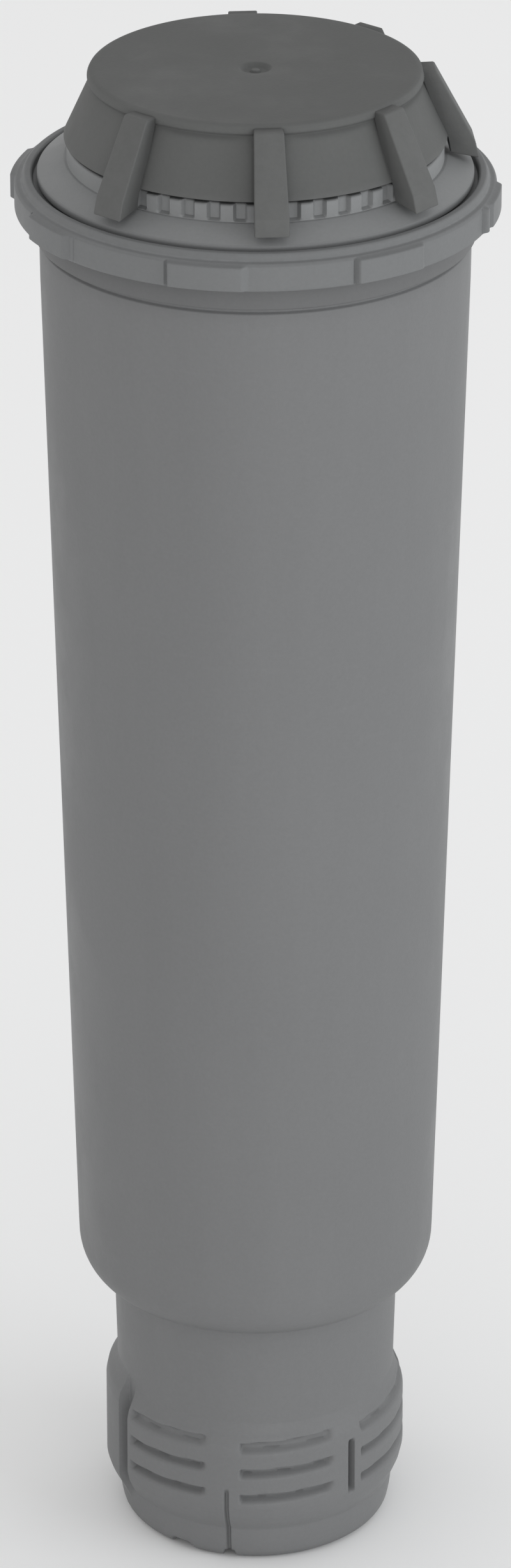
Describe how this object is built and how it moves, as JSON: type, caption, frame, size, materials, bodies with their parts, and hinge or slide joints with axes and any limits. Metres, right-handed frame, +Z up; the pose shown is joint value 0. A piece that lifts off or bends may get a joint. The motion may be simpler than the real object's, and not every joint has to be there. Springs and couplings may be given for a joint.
{
  "type": "water filter cartridge",
  "caption": "Tapered filter cartridge for a water tank: interrupted thread on its neck, turning month ring at the top, ribbed cap over a toothed ring, filter media inside.",
  "frame": {"origin": "centre of the neck's lower rim, where the cartridge stands", "axes": "+Z up along the cartridge's axis from the neck to the cap, -Y the front"},
  "size_m": [0.055, 0.055, 0.184],
  "materials": {
    "housing_grey": "satin moulded polypropylene",
    "cap_grey": "fine matt disc, satin sides",
    "strainer_grey": "satin moulded polypropylene",
    "inner_white": "satin moulded polypropylene",
    "fleece": "pressed fleece",
    "resin": "packed amber beads",
    "carbon": "packed black granules",
    "seal": "smooth rubber"
  },
  "bodies": {
    "root": {"housing_body": "housing_grey", "strainer_ring": "strainer_grey", "end_cap": "cap_grey", "outlet_socket": "inner_white", "outlet_seal": "seal", "return_tube": "inner_white", "inlet_grid": "inner_white", "inlet_fleece": "fleece", "ion_exchange_bed": "resin", "separator_fleece": "fleece", "carbon_bed": "carbon", "outlet_fleece": "fleece", "top_grid": "inner_white", "inner_lid": "inner_white", "vent_fleece": "fleece"},
    "ring": {"month_ring": "housing_grey"}
  },
  "joints": [
    {"name": "month_turn", "type": "hinge", "parent": "root", "child": "ring", "pos_m": [0, 0, 0.1695], "axis": [0, 0, 1], "continuous": true}
  ]
}
